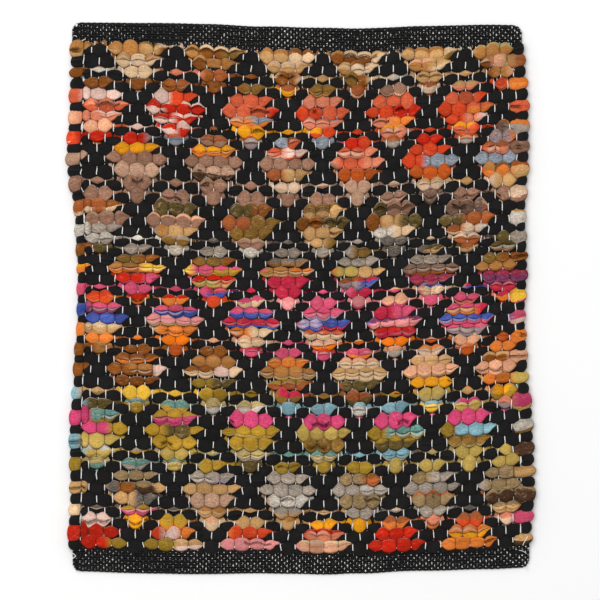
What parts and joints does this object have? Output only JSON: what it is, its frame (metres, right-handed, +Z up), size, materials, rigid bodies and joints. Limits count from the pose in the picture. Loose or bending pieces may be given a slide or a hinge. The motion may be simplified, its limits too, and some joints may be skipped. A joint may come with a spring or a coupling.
{
  "type": "rag rug",
  "caption": "Flat handwoven rag rug: tie-dyed pillows of cloth strip in diamonds, outlined in black, with a thin hemmed band at each end.",
  "frame": {"origin": "on the floor under the middle of the rug's outline", "axes": "+X along the rag rows, +Y along the warp towards the far hem, +Z up from the floor"},
  "size_m": [0.4998, 0.587, 0.013],
  "materials": {
    "dyed_rag": "matte tie-dyed cotton knit strip",
    "black_rag": "matte black cotton knit strip",
    "warp": "matte off-white twisted cotton thread",
    "hem_band": "matte black cotton band on a white warp"
  },
  "bodies": {
    "root": {"rug": "dyed_rag"}
  },
  "joints": []
}
